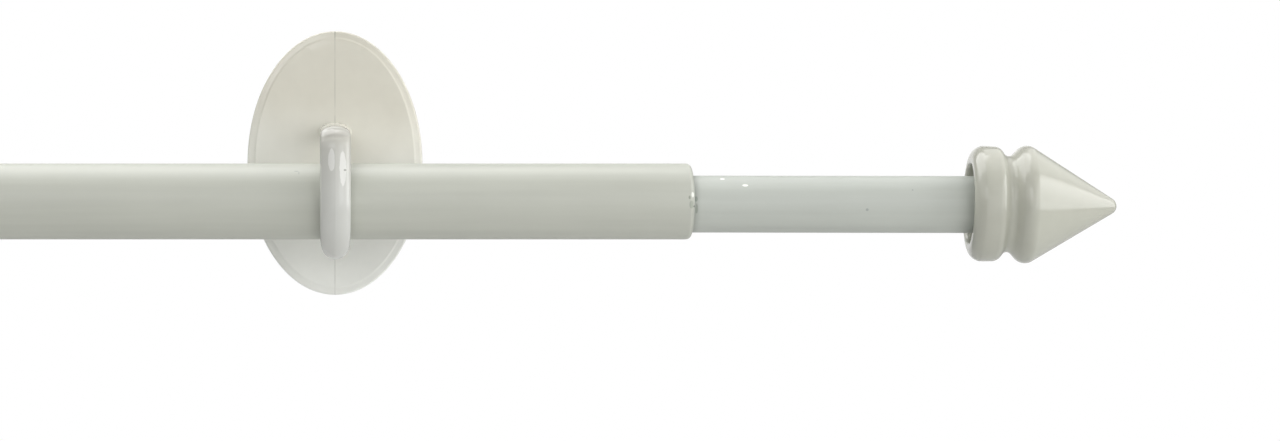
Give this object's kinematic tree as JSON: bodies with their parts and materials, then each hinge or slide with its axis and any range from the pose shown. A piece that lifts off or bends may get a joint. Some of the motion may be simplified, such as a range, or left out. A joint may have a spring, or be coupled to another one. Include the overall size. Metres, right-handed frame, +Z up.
{
  "type": "curtain rod with brackets",
  "caption": "Short telescopic curtain rod for a window or door panel, with cone finials, carried in two hooks on oval stick-on plates.",
  "frame": {"origin": "middle of the right bracket's adhesive pad, on the wall", "axes": "+X along the rod, towards the end that telescopes; +Y into the wall; +Z up"},
  "size_m": [0.3831, 0.0293, 0.043],
  "materials": {
    "rod_lacquer": "off-white lacquer, satin",
    "inner_lacquer": "cool off-white lacquer, satin",
    "moulded_plastic": "ivory white moulding, glossy",
    "plug_plastic": "plain white moulding",
    "adhesive_foam": "white closed-cell foam tape"
  },
  "bodies": {
    "wall_bracket": {"bracket_right": "moulded_plastic", "adhesive_pad_right": "adhesive_foam"},
    "far_bracket": {"bracket_left": "moulded_plastic", "adhesive_pad_left": "adhesive_foam"},
    "rod": {"outer_tube": "rod_lacquer"},
    "extension": {"inner_tube": "inner_lacquer", "inner_tube_guide_plug": "plug_plastic"},
    "end_finial": {"finial_right": "moulded_plastic"},
    "far_finial": {"finial_left": "moulded_plastic"}
  },
  "joints": [
    {"name": "rod_slide", "type": "slide", "parent": "wall_bracket", "child": "rod", "axis": [1, 0, 0], "range_m": [-0.05, 0.044]},
    {"name": "telescope", "type": "slide", "parent": "rod", "child": "extension", "axis": [1, 0, 0], "range_m": [-0.0425, 0.222]},
    {"name": "finial_right_pull", "type": "slide", "parent": "extension", "child": "end_finial", "axis": [1, 0, 0], "range_m": [0, 0.018]},
    {"name": "finial_left_pull", "type": "slide", "parent": "rod", "child": "far_finial", "axis": [-1, 0, 0], "range_m": [0, 0.012]},
    {"name": "bracket_spacing", "type": "slide", "parent": "rod", "child": "far_bracket", "axis": [1, 0, 0], "range_m": [-0.044, 0.105]}
  ]
}
